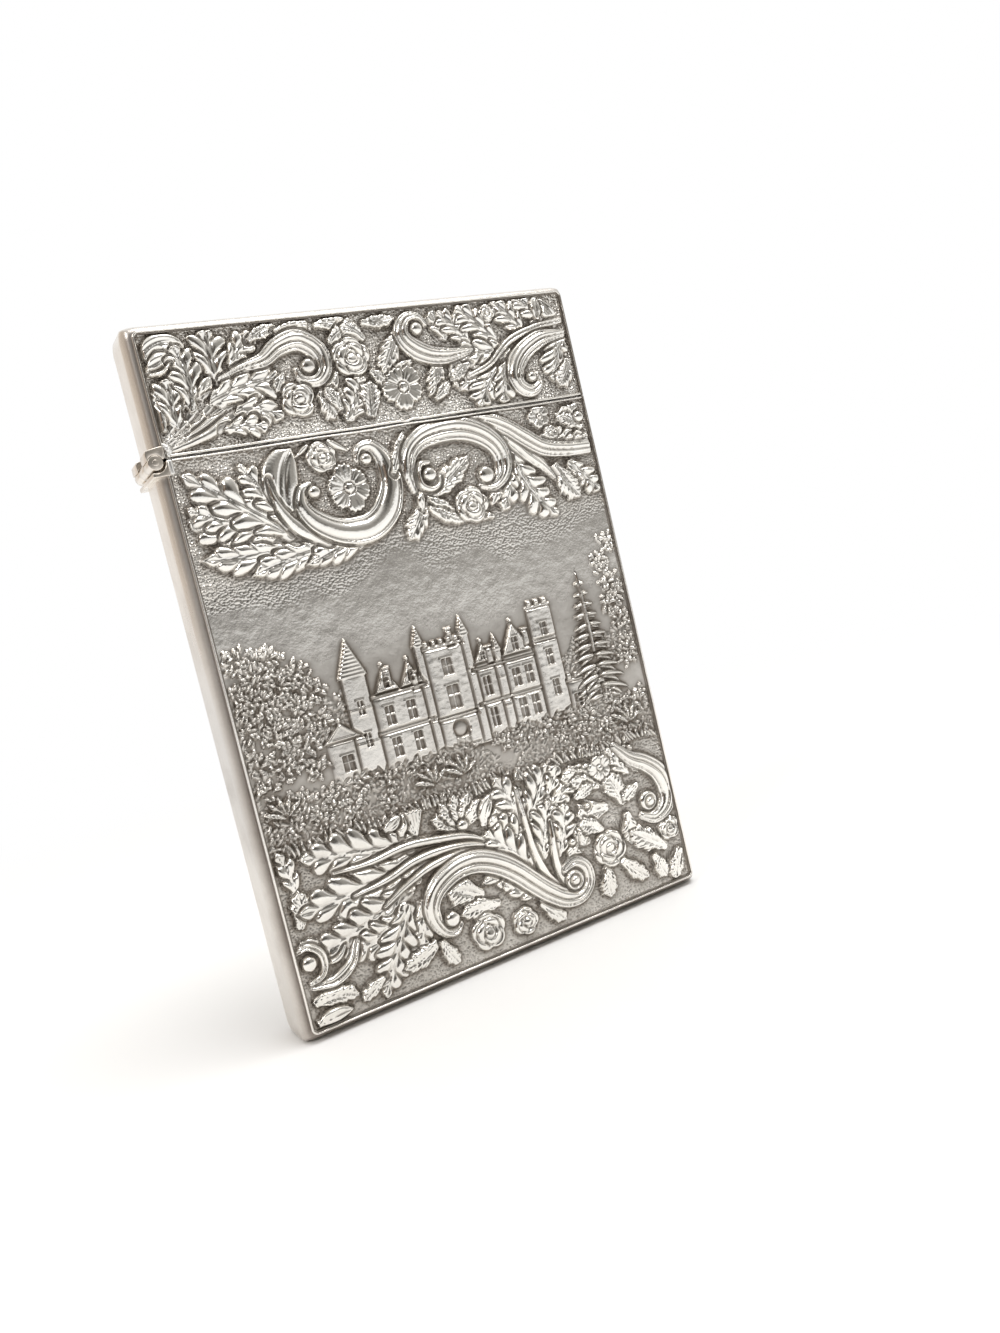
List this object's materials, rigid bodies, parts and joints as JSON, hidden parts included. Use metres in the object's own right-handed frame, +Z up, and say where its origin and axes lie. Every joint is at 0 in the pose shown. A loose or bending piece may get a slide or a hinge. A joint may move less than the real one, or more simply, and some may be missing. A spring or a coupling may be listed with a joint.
{
  "type": "visiting card case",
  "caption": "Slim hard case for visiting cards, embossed front and back, with a narrow lid hinged on one side at the top.",
  "frame": {"origin": "centre of the flat land under the case, on which it stands", "axes": "+X to the right in the front view, +Z up towards the lid, -Y out of the front"},
  "size_m": [0.0702, 0.012, 0.0992],
  "materials": {
    "embossed_silver": "satin",
    "band_silver": "polished",
    "rim_silver": "polished",
    "hinge_silver": "satin",
    "bezel_silver": "satin"
  },
  "bodies": {
    "body": {"body_front_plate": "embossed_silver", "body_back_plate": "embossed_silver", "body_band": "band_silver", "body_front_rim": "rim_silver", "body_back_rim": "rim_silver", "body_front_mouth": "rim_silver", "body_back_mouth": "rim_silver", "bezel": "bezel_silver", "body_bearer": "hinge_silver", "body_knuckle": "hinge_silver", "hinge_pin": "hinge_silver"},
    "lid": {"lid_front_plate": "embossed_silver", "lid_back_plate": "embossed_silver", "lid_band": "band_silver", "lid_front_rim": "rim_silver", "lid_back_rim": "rim_silver", "lid_front_mouth": "rim_silver", "lid_back_mouth": "rim_silver", "lid_bearer": "hinge_silver", "lid_front_knuckle": "hinge_silver", "lid_back_knuckle": "hinge_silver"}
  },
  "joints": [
    {"name": "lid_hinge", "type": "hinge", "parent": "body", "child": "lid", "pos_m": [-0.0345, 0, 0.08085], "axis": [0, -1, 0], "range_deg": [0, 100]}
  ]
}
